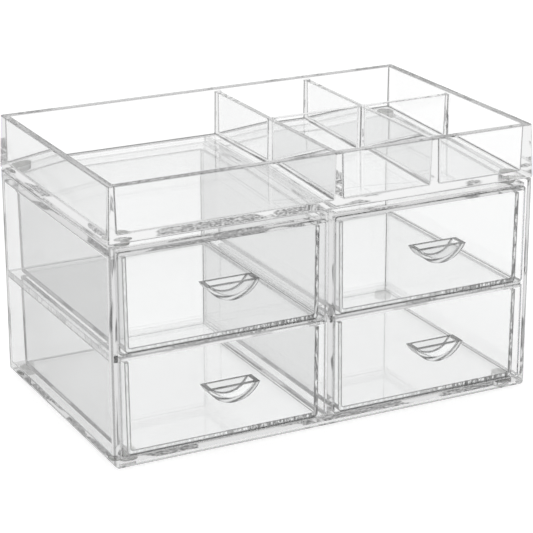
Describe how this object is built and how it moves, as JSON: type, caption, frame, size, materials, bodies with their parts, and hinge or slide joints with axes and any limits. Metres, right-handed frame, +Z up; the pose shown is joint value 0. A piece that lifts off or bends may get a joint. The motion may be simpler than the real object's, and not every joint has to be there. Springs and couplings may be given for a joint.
{
  "type": "cosmetics organizer",
  "caption": "Clear acrylic cosmetics organizer: drawers with half-moon scoop pulls in a low cabinet, under a lift-off divided tray on bumper feet",
  "frame": {"origin": "middle of the footprint, pulls included, on the surface that the cabinet's feet stand on", "axes": "+X to the right along the width, +Y from the drawer fronts to the back, +Z up"},
  "size_m": [0.305, 0.1986, 0.1856],
  "materials": {
    "clear_acrylic": "polished, water-clear",
    "clear_bumper": "soft clear bumper, satin"
  },
  "bodies": {
    "cabinet": {"cabinet_frame": "clear_acrylic", "cabinet_back_panel": "clear_acrylic", "shelf_left": "clear_acrylic", "shelf_right": "clear_acrylic", "cabinet_foot_front_left": "clear_bumper", "cabinet_foot_front_right": "clear_bumper", "cabinet_foot_back_left": "clear_bumper", "cabinet_foot_back_right": "clear_bumper"},
    "drawer_lower_left": {"drawer_tub_lower_left": "clear_acrylic", "drawer_front_lower_left": "clear_acrylic", "drawer_pull_lower_left": "clear_acrylic"},
    "drawer_lower_right": {"drawer_tub_lower_right": "clear_acrylic", "drawer_front_lower_right": "clear_acrylic", "drawer_pull_lower_right": "clear_acrylic"},
    "drawer_upper_left": {"drawer_tub_upper_left": "clear_acrylic", "drawer_front_upper_left": "clear_acrylic", "drawer_pull_upper_left": "clear_acrylic"},
    "drawer_upper_right": {"drawer_tub_upper_right": "clear_acrylic", "drawer_front_upper_right": "clear_acrylic", "drawer_pull_upper_right": "clear_acrylic"},
    "tray": {"tray": "clear_acrylic", "tray_foot_front_left": "clear_bumper", "tray_foot_front_right": "clear_bumper", "tray_foot_back_left": "clear_bumper", "tray_foot_back_right": "clear_bumper"}
  },
  "joints": [
    {"name": "drawer_slide_lower_left", "type": "slide", "parent": "cabinet", "child": "drawer_lower_left", "axis": [0, -1, 0], "range_m": [0, 0.15]},
    {"name": "drawer_slide_lower_right", "type": "slide", "parent": "cabinet", "child": "drawer_lower_right", "axis": [0, -1, 0], "range_m": [0, 0.15]},
    {"name": "drawer_slide_upper_left", "type": "slide", "parent": "cabinet", "child": "drawer_upper_left", "axis": [0, -1, 0], "range_m": [0, 0.15]},
    {"name": "drawer_slide_upper_right", "type": "slide", "parent": "cabinet", "child": "drawer_upper_right", "axis": [0, -1, 0], "range_m": [0, 0.15]},
    {"name": "tray_lift", "type": "slide", "parent": "cabinet", "child": "tray", "axis": [0, 0, 1], "range_m": [0, 0.06]}
  ]
}
